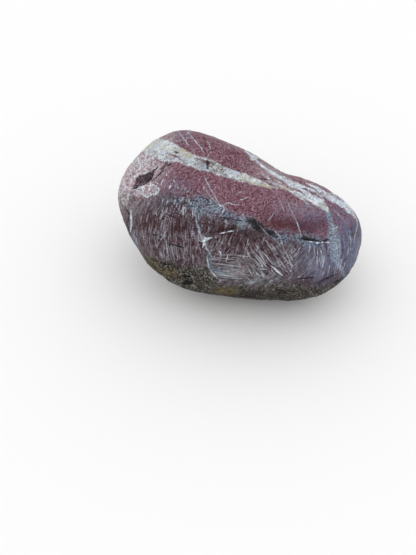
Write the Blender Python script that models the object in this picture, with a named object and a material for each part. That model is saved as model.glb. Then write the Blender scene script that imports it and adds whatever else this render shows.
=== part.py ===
"""A jasper chunk: one river-worn stone, resting on a small flat of its own underside.

The stone is a sphere pushed out to a ring of worn faces. Each face is a plane at a real
distance from the stone's middle, and the planes are blended with a p-norm, which rounds
every edge between them the way tumbling does. Shallow troughs are then pressed in, the
underside is sliced flat where the stone sits, and one chipped pocket is cut out.

Metres, +Z up, +X along the stone's length. The origin is under the middle of the
stone's box, on the plane it rests on.
"""

import math

import bmesh
import bpy
from mathutils import Matrix, Vector

MM = 0.001

SPHERE_SUBDIVISIONS = 5
REST_DROP = 29.5  # from the stone's middle down to the flat it rests on, mm
SLIVER = 0.9  # points nearer than this to the flat's rim are joined to it, mm

# How closely the worn faces meet: a higher number gives crisper edges.
EDGE_CRISPNESS = 12.0

# Worn faces: the outward normal's azimuth, from +X towards +Y, and its elevation, in
# degrees, then the face's distance from the stone's middle in millimetres.
WORN_FACES = (
    # the long outline, from the narrow end over the back to the wide end
    ("narrow end", 14, -5, 55.2),
    ("narrow end, upper", 30, 12, 54.0),
    ("brow of the narrow end", 46, 26, 47.0),
    ("shoulder of the narrow end", 55, 35, 38.2),
    ("back of the narrow end", 66, 42, 31.6),
    ("back rim", 84, 48.5, 24.0),
    ("wide end, back slope", 175, 41, 49.2),
    ("wide end, upper", 199, 21, 55.0),
    ("wide end", 213, 4, 55.0),
    # and back underneath
    ("wide end, lower", 233, -18, 47.3),
    ("heel of the wide end", 249, -32, 46.0),
    ("underside, wide end", 265, -39, 43.8),
    ("underside, front", 285, -44, 39.6),
    ("underside, middle", 304, -45, 38.5),
    ("underside, narrow end", 327, -40, 45.2),
    ("toe of the narrow end", 350, -27, 53.2),
    # the faces that look up and forward
    ("crown", 345, 80, 21.5),
    ("crown, wide end", 225, 62, 30.9),
    ("crown, narrow end", 345, 66, 27.5),
    ("brow", 292, 42, 33.0),
    ("front", 293, 6, 31.5),
    ("lower front", 292, -24, 34.5),
    ("cheek of the wide end", 232, 30, 44.5),
    ("cheek of the narrow end", 350, 22, 45.0),
    ("corner of the narrow end", 325, 5, 46.0),
    ("corner of the wide end", 255, 5, 41.0),
    # the side that faces away
    ("back, upper", 110, 28, 33.0),
    ("back", 98, -2, 35.0),
    ("back, lower", 100, -36, 34.5),
    ("back, wide end", 150, 12, 47.0),
    ("back, wide end, lower", 165, -24, 44.0),
    ("back, narrow end", 58, -16, 46.5),
    ("back, narrow end, lower", 40, -40, 43.0),
    # round the resting flat
    ("sole, front", 285, -66, 33.0),
    ("sole, back", 100, -64, 31.0),
    ("sole, wide end", 205, -52, 34.4),
    ("sole, narrow end", 10, -60, 43.2),
)

# Troughs pressed into the surface: the azimuth and elevation of each end and the spread of
# the trough, all in degrees as seen from the stone's middle, then its depth in mm.
TROUGHS = (
    ("waist over the back rim", (60, 46), (88, -28), 18, 3.2),
    ("scoop in the back, wide end", (116, -14), (146, 4), 17, 1.5),
)

# The chipped pocket high on the wide end: where it opens, as seen from the stone's middle,
# the way its mouth faces, how far its long side is turned from level (all in degrees), and
# its half-sizes along, across and into the stone.
POCKET_PLACE = (208, 24)
POCKET_FACING = (225, 54)
POCKET_ROLL = 102
POCKET_HALF_MM = (5.2, 3.0, 3.4)
POCKET_SUBDIVISIONS = 3


def unit(azimuth, elevation):
    """The unit vector at an azimuth and an elevation in degrees."""
    turn, rise = math.radians(azimuth), math.radians(elevation)
    return Vector(
        (math.cos(turn) * math.cos(rise), math.sin(turn) * math.cos(rise), math.sin(rise))
    )


def angle_to_arc(direction, start, end):
    """Degrees between a direction and the nearest point of the arc between two others."""
    chord = end - start
    share = (direction - start).dot(chord) / chord.length_squared
    nearest = start + chord * min(1.0, max(0.0, share))
    return math.degrees(direction.angle(nearest))


def surface_radius(direction):
    """How far the worn surface lies from the stone's middle in this unit direction, in mm."""
    reach = sum(
        max(0.0, direction.dot(unit(azimuth, elevation)) / distance) ** EDGE_CRISPNESS
        for _, azimuth, elevation, distance in WORN_FACES
    )
    radius = reach ** (-1.0 / EDGE_CRISPNESS)
    for _, start, end, spread, depth in TROUGHS:
        angle = angle_to_arc(direction, unit(*start), unit(*end))
        radius -= depth * math.exp(-((angle / spread) ** 2))
    return radius


def clear_scene():
    for item in list(bpy.data.objects):
        bpy.data.objects.remove(item)


def finish_material(name, colour, roughness):
    """A plain Principled finish in the stone's own colour."""
    material = bpy.data.materials.new(name)
    material.use_nodes = True
    shader = material.node_tree.nodes["Principled BSDF"]
    shader.inputs["Base Color"].default_value = (*colour, 1.0)
    shader.inputs["Roughness"].default_value = roughness
    shader.inputs["Metallic"].default_value = 0.0
    return material


def object_from(form, name):
    """A scene object that holds a bmesh, which is freed."""
    mesh = bpy.data.meshes.new(name)
    form.to_mesh(mesh)
    form.free()
    item = bpy.data.objects.new(name, mesh)
    bpy.context.scene.collection.objects.link(item)
    return item


def worn_stone():
    """The rounded stone with its resting flat, its middle at the origin, in metres."""
    form = bmesh.new()
    bmesh.ops.create_icosphere(form, subdivisions=SPHERE_SUBDIVISIONS, radius=1.0)
    for vertex in form.verts:
        direction = vertex.co.normalized()
        vertex.co = direction * (surface_radius(direction) * MM)
    slice_flat(form, -REST_DROP * MM)
    return form


def slice_flat(form, height):
    """Cuts away what is below a height and closes the cut with one flat face."""
    everything = form.verts[:] + form.edges[:] + form.faces[:]
    cut = bmesh.ops.bisect_plane(
        form,
        geom=everything,
        plane_co=(0.0, 0.0, height),
        plane_no=(0.0, 0.0, -1.0),
        clear_outer=True,
    )
    rim = [item for item in cut["geom_cut"] if isinstance(item, bmesh.types.BMVert)]
    bmesh.ops.remove_doubles(form, verts=rim, dist=SLIVER * MM)
    join_slivers(form, [vertex for vertex in rim if vertex.is_valid])
    open_edges = [edge for edge in form.edges if edge.is_boundary]
    for edge in open_edges:
        edge.smooth = False
    bmesh.ops.contextual_create(form, geom=open_edges)
    bmesh.ops.recalc_face_normals(form, faces=form.faces[:])


def join_slivers(form, rim):
    """Joins the points just above a rim to it, so the cut leaves no sliver triangles."""
    on_rim = set(rim)
    joined = {}
    for vertex in rim:
        for edge in vertex.link_edges:
            other = edge.other_vert(vertex)
            if other not in on_rim and edge.calc_length() < SLIVER * MM:
                joined[other] = vertex
    bmesh.ops.weld_verts(form, targetmap=joined)


def pocket_cutter():
    """An egg-shaped tool, half sunk in the surface where the pocket opens."""
    form = bmesh.new()
    bmesh.ops.create_icosphere(form, subdivisions=POCKET_SUBDIVISIONS, radius=1.0)
    place = unit(*POCKET_PLACE)
    middle = place * surface_radius(place)
    outward = unit(*POCKET_FACING)
    level = Vector((0.0, 0.0, 1.0)).cross(outward).normalized()
    along = Matrix.Rotation(math.radians(POCKET_ROLL), 3, outward) @ level
    across = outward.cross(along)
    length, width, depth = POCKET_HALF_MM
    for vertex in form.verts:
        x, y, z = vertex.co
        point = middle + along * (x * length) + across * (y * width) + outward * (z * depth)
        vertex.co = point * MM
    bmesh.ops.recalc_face_normals(form, faces=form.faces[:])
    return form


def stand_on_origin(item, *others):
    """Moves the meshes so that the item's box is centred over the origin and stands on it."""
    points = [vertex.co for vertex in item.data.vertices]
    low = Vector([min(point[axis] for point in points) for axis in range(3)])
    high = Vector([max(point[axis] for point in points) for axis in range(3)])
    foot = Vector(((low.x + high.x) / 2, (low.y + high.y) / 2, low.z))
    for each in (item, *others):
        each.data.transform(Matrix.Translation(-foot))


def main():
    clear_scene()
    stone = object_from(worn_stone(), "jasper_stone")
    cutter = object_from(pocket_cutter(), "pocket_cutter")
    stand_on_origin(stone, cutter)
    cutter.hide_render = True
    cutter.display_type = "WIRE"

    pocket = stone.modifiers.new("pocket", "BOOLEAN")
    pocket.operation = "DIFFERENCE"
    pocket.object = cutter

    stone.data.materials.append(finish_material("red_jasper", (0.17, 0.08, 0.09), 0.5))
    stone.data.shade_smooth()


main()
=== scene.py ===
import math

import bpy
import numpy as np
from mathutils import Matrix, Vector, noise
from mathutils.bvhtree import BVHTree


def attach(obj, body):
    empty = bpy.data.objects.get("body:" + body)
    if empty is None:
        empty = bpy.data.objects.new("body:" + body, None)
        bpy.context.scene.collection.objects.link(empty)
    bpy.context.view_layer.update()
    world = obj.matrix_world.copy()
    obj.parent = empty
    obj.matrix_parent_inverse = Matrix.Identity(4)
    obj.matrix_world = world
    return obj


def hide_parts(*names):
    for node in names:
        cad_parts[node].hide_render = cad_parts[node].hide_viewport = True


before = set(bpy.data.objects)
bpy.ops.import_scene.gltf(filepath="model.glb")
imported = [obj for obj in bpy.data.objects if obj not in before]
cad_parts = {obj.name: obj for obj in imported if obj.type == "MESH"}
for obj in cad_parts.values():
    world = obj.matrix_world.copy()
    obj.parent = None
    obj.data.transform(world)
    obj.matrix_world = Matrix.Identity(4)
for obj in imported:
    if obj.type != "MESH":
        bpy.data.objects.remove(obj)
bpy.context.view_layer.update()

MM = 0.001
NODE = "jasper_stone"

# ---------------------------------------------------------------- camera
# The photograph's frame, and where the stone's middle shows in it, in pixels.
FRAME_WIDTH, FRAME_HEIGHT = 416, 555
MIDDLE_PX = (240.0, 214.0)
VIEW_AZIMUTH, VIEW_ELEVATION = 28.0, 40.0
LENS_MM, SENSOR_MM = 60.0, 36.0
MM_PER_PIXEL = 0.40
FOCAL_PX = LENS_MM / SENSOR_MM * FRAME_HEIGHT
DISTANCE = FOCAL_PX * MM_PER_PIXEL * MM
AIMING_ROUNDS = 40  # steps that bring the stone's middle to its pixel
NEAR_CLIP = 0.01  # metres

# The point inside the stone that its skin is measured from and the camera is aimed by.
MIDDLE = np.array((0.53, 1.26, 29.5)) * MM

# ---------------------------------------------------------------- mesh
CUBE_STEPS = 128  # squares along each side of the cube that is blown up to the stone
CROWDING = 1.5  # how much finer the mesh is on the side that faces the camera
HALF_SIZES = (49.0, 35.0, 27.0)  # the stone's rough half-sizes, which even out the mesh
FACET_SMOOTHING = 160  # rounds of smoothing that take the CAD solid's facets away
NOISE_SHIFT = np.array((37.1, -11.7, 5.3))  # how far apart two seeds read the same noise

# What is drawn in pixels ends at the rim, by the cosine between the skin's normal and the way
# to the camera: the last that is drawn at all, and where bands and patches fade out.
RIM_END = -0.1
BAND_FADE = (0.12, -0.08)
PATCH_FADE = (-0.15, 0.15)
BAND_REACH = 12.0  # pixels: how far from a band its distance is still told
THIN_REACH = 4.0  # the same for thin marks


def unit(azimuth, elevation):
    """The unit vector at an azimuth and an elevation in degrees."""
    turn, rise = math.radians(azimuth), math.radians(elevation)
    flat = math.cos(rise)
    return np.array((math.cos(turn) * flat, math.sin(turn) * flat, math.sin(rise)))


def normalised(vectors):
    return vectors / np.linalg.norm(vectors, axis=-1, keepdims=True)


def smoothstep(low, high, values):
    """0 below low, 1 above high and a smooth rise between them."""
    share = np.clip((values - low) / (high - low), 0.0, 1.0)
    return share * share * (3.0 - 2.0 * share)


class Eye:
    """The camera as a pinhole: where it stands and how it turns points into pixels."""

    def __init__(self):
        turn, rise = math.radians(VIEW_AZIMUTH), math.radians(VIEW_ELEVATION)
        self.back = np.array(
            (math.sin(turn) * math.cos(rise), -math.cos(turn) * math.cos(rise), math.sin(rise))
        )
        self.place = MIDDLE + self.back * DISTANCE
        aside = (MIDDLE_PX[0] - FRAME_WIDTH / 2) / FOCAL_PX
        above = (FRAME_HEIGHT / 2 - MIDDLE_PX[1]) / FOCAL_PX
        self.forward = -self.back
        for _ in range(AIMING_ROUNDS):
            self.right = normalised(np.cross(self.forward, (0.0, 0.0, 1.0)))
            self.up = np.cross(self.right, self.forward)
            seen = normalised(aside * self.right + above * self.up + self.forward)
            self.forward = normalised(self.forward - self.back - seen)

    def pixels(self, points):
        """Where points show in the photograph's frame."""
        away = points - self.place
        depth = away @ self.forward
        x = FRAME_WIDTH / 2 + FOCAL_PX * (away @ self.right) / depth
        y = FRAME_HEIGHT / 2 - FOCAL_PX * (away @ self.up) / depth
        return np.stack((x, y), axis=-1)


EYE = Eye()


def make_camera():
    data = bpy.data.cameras.new("camera")
    data.lens = LENS_MM
    data.sensor_width = SENSOR_MM
    data.clip_start = NEAR_CLIP
    camera = bpy.data.objects.new("camera", data)
    turn = Matrix((EYE.right, EYE.up, -EYE.forward)).transposed()
    camera.matrix_world = Matrix.Translation(EYE.place) @ turn.to_4x4()
    bpy.context.scene.collection.objects.link(camera)
    bpy.context.scene.camera = camera


# ---------------------------------------------------------------- the stone's mesh


def cube_lattice(steps):
    """The lattice points on a cube's surface, and the squares between them, facing out."""
    span = steps + 1
    squares = []
    a, b = np.meshgrid(np.arange(steps), np.arange(steps), indexing="ij")
    corners = ((0, 0), (1, 0), (1, 1), (0, 1))
    for axis in range(3):
        for side in (0, steps):
            faces = []
            for da, db in corners if side else corners[::-1]:
                point = [None, None, None]
                point[axis] = np.full_like(a, side)
                point[(axis + 1) % 3] = a + da
                point[(axis + 2) % 3] = b + db
                faces.append(((point[0] * span + point[1]) * span + point[2]).ravel())
            squares.append(np.stack(faces, axis=1))
    squares = np.concatenate(squares)
    keys, squares = np.unique(squares, return_inverse=True)
    points = np.stack((keys // span**2, keys // span % span, keys % span), axis=1)
    return points, squares.reshape(-1, 4)


def sphere_directions(points, steps):
    """Unit directions for the lattice points, crowded towards the camera's side."""
    ball = normalised(np.tan((points / steps * 2.0 - 1.0) * math.pi / 4))
    radius = np.maximum(np.hypot(ball[:, 0], ball[:, 1]), 1e-9)
    angle = 2.0 * np.arctan2(radius, CROWDING * (1.0 + ball[:, 2]))
    scale = np.sin(angle) / radius
    near = np.column_stack((ball[:, 0] * scale, ball[:, 1] * scale, np.cos(angle)))
    halves = np.array(HALF_SIZES)
    pole = Vector(normalised(EYE.back / halves))
    turn = np.array(pole.to_track_quat("Z", "Y").to_matrix())
    return normalised((near @ turn.T) * halves)


class Grid:
    """How the stone's points are joined, whatever their places."""

    def __init__(self):
        points, self.squares = cube_lattice(CUBE_STEPS)
        self.directions = sphere_directions(points, CUBE_STEPS)
        ends = np.concatenate([self.squares[:, [side, (side + 1) % 4]] for side in range(4)])
        self.starts, self.stops = np.unique(np.sort(ends, axis=1), axis=0).T
        self.count = len(points)
        self.joins = self.total(np.ones(self.count))

    def total(self, values):
        """For each point, the sum of a value over the points joined to it."""
        out = np.bincount(self.starts, values[self.stops], self.count)
        return out + np.bincount(self.stops, values[self.starts], self.count)

    def smooth(self, values, rounds, where=None):
        """Values drawn towards the mean of their neighbours, all over or only in places."""
        for _ in range(rounds):
            mean = self.total(values) / self.joins
            step = (mean - values) * 0.5
            values = values + (step if where is None else step * where)
        return values

    def gathered(self, values):
        """For each point, the sum of a value over the squares that meet there."""
        return sum(np.bincount(self.squares[:, corner], values, self.count) for corner in range(4))

    def square_vectors(self, points):
        """For each square, a vector that faces out and is twice as long as the square's area."""
        a, b, c, d = (points[self.squares[:, corner]] for corner in range(4))
        return np.cross(c - a, d - b)

    def normals(self, points):
        """The outward normal at each point."""
        facing = self.square_vectors(points)
        return normalised(np.stack([self.gathered(facing[:, axis]) for axis in range(3)], axis=1))

    def cell_areas(self, points):
        """How much of the skin each point stands for."""
        areas = np.linalg.norm(self.square_vectors(points), axis=1) / 2
        return self.gathered(areas) / 4


def cad_radii(grid):
    """How far the CAD solid's skin lies from the stone's middle in each direction."""
    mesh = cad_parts[NODE].data
    corners = [vertex.co for vertex in mesh.vertices]
    tree = BVHTree.FromPolygons(corners, [face.vertices for face in mesh.polygons])
    middle = Vector(MIDDLE)
    return np.array(
        [tree.ray_cast(middle, Vector(way))[3] for way in grid.directions.tolist()]
    )


class Stone:
    """The stone's skin: its points and normals in metres, and how they show in the photograph."""

    def __init__(self):
        self.grid = Grid()
        radii = self.grid.smooth(cad_radii(self.grid), FACET_SMOOTHING)
        around_pocket = self.angle_gap(*POCKET_PLACE) < POCKET_REACH
        self.radii = self.grid.smooth(radii, POCKET_FILLING, around_pocket)
        self.set_points(MIDDLE + self.grid.directions * self.radii[:, None])
        self.pixels = EYE.pixels(self.points)
        self.facing = (self.normals * normalised(EYE.place - self.points)).sum(axis=1)
        self.front = np.nonzero(self.facing > RIM_END)[0]
        self.places_mm = self.points / MM
        self.cell_areas = self.grid.cell_areas(self.places_mm)

    def set_points(self, points):
        self.points = points
        self.normals = self.grid.normals(points)

    def noise(self, wavelength_mm, seed, octaves=3):
        """Fractal noise of about -1 to 1 at each point."""
        places = (self.places_mm / wavelength_mm + seed * NOISE_SHIFT).tolist()
        return np.array([noise.fractal(place, 1.0, 2.0, octaves) for place in places])

    # What is placed by pixels is painted on the side that the camera sees.

    def pixel_band(self, path, reach):
        """Signed distance in mm to a band drawn in pixels, each point being x, y, width."""
        gap = np.full(self.grid.count, float(reach))
        gap[self.front] = band(self.pixels[self.front], curved(path), reach)
        hidden = smoothstep(*BAND_FADE, self.facing)
        return (gap + hidden * reach) * MM_PER_PIXEL

    def pixel_patch(self, x, y, half_width, half_height, tilt=0.0):
        """A soft oval patch: 1 in its middle, about a third at its edge, 0 far off."""
        turn = math.radians(tilt)
        off_x, off_y = self.pixels[:, 0] - x, y - self.pixels[:, 1]
        along = (off_x * math.cos(turn) + off_y * math.sin(turn)) / half_width
        across = (off_y * math.cos(turn) - off_x * math.sin(turn)) / half_height
        return np.exp(-(along**2) - across**2) * smoothstep(*PATCH_FADE, self.facing)

    # What is placed by azimuth and elevation is painted on any side.

    def skin_at(self, direction):
        """The skin's point in a direction from the stone's middle, in mm."""
        nearest = np.argmax(self.grid.directions @ direction)
        return (MIDDLE + direction * self.radii[nearest]) / MM

    def angle_band(self, path, reach=5.0):
        """Signed distance in mm to a band whose points are azimuth, elevation, width in mm."""
        rows = [(*self.skin_at(unit(row[0], row[1])), row[2]) for row in curved(path)]
        return band(self.places_mm, np.array(rows), reach)

    def seen_at(self, x, y):
        """Which point shows at a pixel."""
        return self.front[np.argmin(np.hypot(*(self.pixels[self.front] - (x, y)).T))]

    def skin_seen(self, x, y):
        """The skin's point that shows at a pixel, in mm."""
        return self.places_mm[self.seen_at(x, y)]

    def pixel_frame(self, x, y, angle):
        """Axes of the skin at a pixel: one seen at this angle, one across it, and out."""
        seen = self.seen_at(x, y)
        out, turn = self.normals[seen], math.radians(angle)
        way = EYE.right * math.cos(turn) + EYE.up * math.sin(turn)
        way = normalised(way - EYE.back * (way @ out) / (EYE.back @ out))
        return way, np.cross(out, way), out

    def angle_frame(self, azimuth, elevation, angle):
        """The same for a direction from the middle, with the angle measured up from level."""
        out = self.normals[np.argmax(self.grid.directions @ unit(azimuth, elevation))]
        level, turn = normalised(np.cross((0.0, 0.0, 1.0), out)), math.radians(angle)
        way = level * math.cos(turn) + np.cross(out, level) * math.sin(turn)
        return way, np.cross(out, way), out

    def angle_patch(self, azimuth, elevation, spread):
        """A soft round patch whose spread is in degrees as seen from the stone's middle."""
        return np.exp(-((self.angle_gap(azimuth, elevation) / spread) ** 2))

    def angle_gap(self, azimuth, elevation):
        """How many degrees each point lies from a direction, as seen from the stone's middle."""
        return np.degrees(np.arccos(np.clip(self.grid.directions @ unit(azimuth, elevation), -1, 1)))

    def inside(self, outline):
        """How far inside an outline drawn in pixels each point shows, in mm; less than 0 outside."""
        reach = 6.0
        out = np.full(self.grid.count, -reach)
        shown = self.pixels[self.front]
        corners = np.array(outline, dtype=float)
        lines = np.column_stack((corners, np.zeros(len(corners))))
        gap = band(shown, np.vstack((lines, lines[:1])), reach)
        odd = np.zeros(len(shown), dtype=bool)
        for (x0, y0), (x1, y1) in zip(corners, np.roll(corners, -1, axis=0)):
            if y0 != y1:
                crossing = x0 + (shown[:, 1] - y0) / (y1 - y0) * (x1 - x0)
                odd ^= ((y0 > shown[:, 1]) != (y1 > shown[:, 1])) & (shown[:, 0] < crossing)
        out[self.front] = np.where(odd, gap, -gap)
        return out * MM_PER_PIXEL


def curved(path, pieces=4):
    """A Catmull-Rom curve through the rows of a path, which keeps all of their columns."""
    rows = np.array(path, dtype=float)
    if len(rows) < 3:
        return rows
    ends = np.vstack((2 * rows[0] - rows[1], rows, 2 * rows[-1] - rows[-2]))
    out = []
    for before, start, end, after in zip(ends, ends[1:], ends[2:], ends[3:]):
        for share in np.arange(pieces) / pieces:
            out.append(
                0.5 * (2 * start + (end - before) * share
                       + (2 * before - 5 * start + 4 * end - after) * share**2
                       + (3 * start - 3 * end + after - before) * share**3)
            )
    out.append(rows[-1])
    return np.array(out)


def band(places, path, reach):
    """Signed distance from places to a band through a path whose last column is its width.

    It is negative inside the band, and reach is the most it says outside.
    """
    out = np.full(len(places), float(reach))
    margin = reach + path[:, -1].max() / 2
    low, high = path[:, :-1].min(axis=0) - margin, path[:, :-1].max(axis=0) + margin
    around = np.nonzero(((places > low) & (places < high)).all(axis=1))[0]
    for first, last in zip(path[:-1], path[1:]):
        start, span = first[:-1], last[:-1] - first[:-1]
        room = np.linalg.norm(span) / 2 + margin
        near = around[np.abs(places[around] - (start + span / 2)).max(axis=1) < room]
        offset = places[near] - start
        share = np.clip(offset @ span / max(span @ span, 1e-12), 0.0, 1.0)
        half = (first[-1] + (last[-1] - first[-1]) * share) / 2
        gap = np.linalg.norm(offset - share[:, None] * span, axis=1) - half
        out[near] = np.minimum(out[near], gap)
    return out


# ---------------------------------------------------------------- what is drawn on the stone
# Paths are points of x, y and width, in pixels of the photograph's frame.

# the veins of white quartz
QUARTZ_VEINS = (
    # the main vein, from the pale patch over the wide end to where it thins out
    ((138, 145, 8), (147, 147, 14), (158, 148, 20), (168, 152, 20.6), (180, 155, 14), (192, 160, 13),
     (204, 164.4, 13.4), (213, 167, 12), (225, 172, 10), (237, 176.2, 9.6), (248, 179.4, 8.2),
     (258, 182.8, 6.4), (267, 186.4, 3.8), (277, 189, 1.4)),
    # the second vein, over the back rim and down the shoulder
    ((245, 151, 2), (252, 157, 3), (259, 163, 2.4), (266, 169, 2.6), (272, 173, 4), (278, 176.5, 3.6),
     (284, 180, 3.6), (289, 183, 6), (294, 186.4, 9.4), (301, 190, 11), (309, 194, 13), (316, 199, 11),
     (322, 205, 8), (326, 209, 5)),
    ((268, 182, 2), (275, 184.6, 2.6), (282, 186.6, 3.2), (289, 190.2, 3), (296, 194.6, 2.4),
     (303, 199.6, 2), (309, 204, 1)),
    # specks between the two veins where they come together
    ((262, 174, 0.8), (266, 177, 1.8), (270, 179, 0.8)),
    ((274, 179, 0.8), (278, 182, 1.8), (282, 183.4, 0.8)),
    ((283, 176.4, 0.6), (287, 178.6, 1.6), (291, 180, 0.6)),
    # along the shoulder to the tip of the narrow end
    ((306, 183, 1), (315, 187, 3), (323, 192, 5), (332, 198, 6.5), (341, 203, 7), (348, 209, 5.5),
     (352, 214, 4), (354, 218, 1)),
)

# slivers of jasper that run inside the veins
JASPER_SLIVERS = (
    ((284, 185, 0.6), (291, 188, 1.6), (299, 191, 1.2), (305, 195, 0.6)),
    ((300, 187, 0.6), (309, 191, 1.8), (317, 195, 2), (323, 199, 0.8)),
    ((262, 169, 0.6), (268, 174, 1.4), (275, 179, 0.6)),
    ((254, 160, 0.5), (259, 166, 1.2), (264, 171, 0.5)),
    ((196, 158, 0.6), (204, 161, 1.6), (211, 164, 0.6)),
    ((168, 154, 0.5), (175, 156, 1.3), (182, 160, 0.6)),
    ((330, 193, 0.5), (337, 198, 1.2), (343, 203, 0.5)),
)

# the dull grey-blue vein down the cheek of the narrow end
DULL_VEINS = (
    ((320, 205, 4), (326, 210, 5), (330, 219, 4.6), (332, 227, 6), (333, 235, 11), (334, 243, 12.6),
     (335, 252, 11.6), (337, 261, 7.4), (341, 268, 4), (344, 276, 2)),
    ((300, 196, 1), (306, 203, 2), (311, 207, 1.4), (316, 209, 0.8)),
    ((132, 232, 1), (134, 238, 2.4), (137, 245, 1.6), (139, 250, 0.8)),
)

# veins as thin as threads
THREAD_VEINS = (
    # over the back of the wide end
    ((174, 129, 0.8), (180, 134, 0.9), (184, 139, 1), (189, 145, 1), (192, 149, 0.9), (195, 153, 0.7)),
    ((187, 130, 0.7), (189, 134, 0.9), (193, 138, 1), (198, 144, 1), (202, 149, 1), (205, 156, 0.9),
     (207, 160, 0.7)),
    ((186, 138, 0.4), (190, 138, 0.8), (194, 139, 0.7)),
    ((172, 143, 0.5), (178, 146, 0.8), (184, 149, 0.7)),
    ((176, 141, 0.4), (183, 140, 0.5)),
    ((206, 140, 0.5), (209, 143, 0.9), (210, 147, 1), (211, 150, 0.6), (209, 154, 0.8), (206, 159, 0.7)),
    ((223, 158, 0.4), (220, 162, 0.7)),
    # down the middle of the top
    ((204, 177, 0.5), (206, 180, 0.9), (208, 184, 1.2), (210, 188, 1), (213, 193, 1.2), (215, 197, 1),
     (218, 202, 1.1), (222, 206, 1)),
    ((206, 190, 0.5), (209, 195, 0.9), (213, 200, 0.9), (217, 204, 1), (222, 207, 1)),
    ((223, 206, 1.3), (224, 209, 1.4), (222, 213, 1), (219, 217, 0.5)),
    ((220, 206, 0.7), (217, 210, 0.9), (215, 213, 0.5)),
    ((223, 207, 0.9), (225, 204, 1), (229, 203, 1.2), (232, 204, 1), (236, 205, 0.7), (240, 204, 0.6)),
    ((235, 203, 0.4), (240, 200, 0.7), (244, 199, 1), (248, 197, 0.6)),
    ((236, 195, 0.4), (240, 192, 0.7), (242, 192, 0.3)),
    ((187, 189, 0.4), (187, 195, 0.9), (189, 200, 1), (192, 206, 0.7)),
    ((290, 207, 0.5), (293, 213, 0.9), (297, 222, 0.9), (300, 231, 0.9), (301, 238, 0.5)),
    ((278, 197, 0.4), (281, 203, 0.7), (284, 211, 0.5)),
    ((287, 201, 0.4), (289, 205, 0.7), (291, 210, 0.5)),
    ((274, 213, 0.5), (271, 217, 0.8), (268, 221, 0.6)),
    ((334, 210, 0.4), (338, 215, 0.7), (342, 219, 0.6), (345, 225, 0.3)),
    # on the front of the wide end
    ((195, 215, 0.8), (196, 219, 1.3), (197, 224, 1.6), (199, 229, 1.4), (200, 234, 1.7), (203, 239, 1.3)),
    ((168, 228, 0.5), (165, 233, 0.9), (162, 238, 1), (159, 243, 0.7), (157, 248, 0.4)),
    ((161, 239, 0.5), (164, 237, 0.7), (167, 236, 0.4)),
    ((161, 218, 0.3), (163, 225, 0.6), (164, 229, 0.3)),
    ((165, 219, 0.3), (167, 226, 0.7), (168, 229, 0.5)),
    ((155, 239, 0.3), (156, 245, 0.6), (156, 249, 0.3)),
    ((166, 240, 0.3), (166, 246, 0.6), (167, 250, 0.3)),
    # the smear below the star
    ((205, 243, 1.2), (206, 248, 1.6), (209, 252, 1.2), (212, 257, 0.6)),
    ((207, 256, 0.8), (208, 262, 1.6), (209, 268, 2.0), (212, 273, 1.2), (217, 277, 0.5)),
    ((219, 250, 0.5), (221, 254, 2.2), (220, 257, 0.7)),
    # down the tip of the narrow end
    ((352, 213, 0.8), (356, 219, 1.1), (357, 226, 0.8), (355, 234, 0.9), (354, 242, 0.4)),
    # down the front of the middle
    ((281, 239, 0.8), (283, 247, 1), (286, 253, 1.2), (289, 259, 0.9), (291, 265, 0.8), (292, 271, 0.4)),
    ((273, 229, 0.5), (276, 233, 1), (280, 237, 0.9), (282, 241, 0.7)),
)

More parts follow.
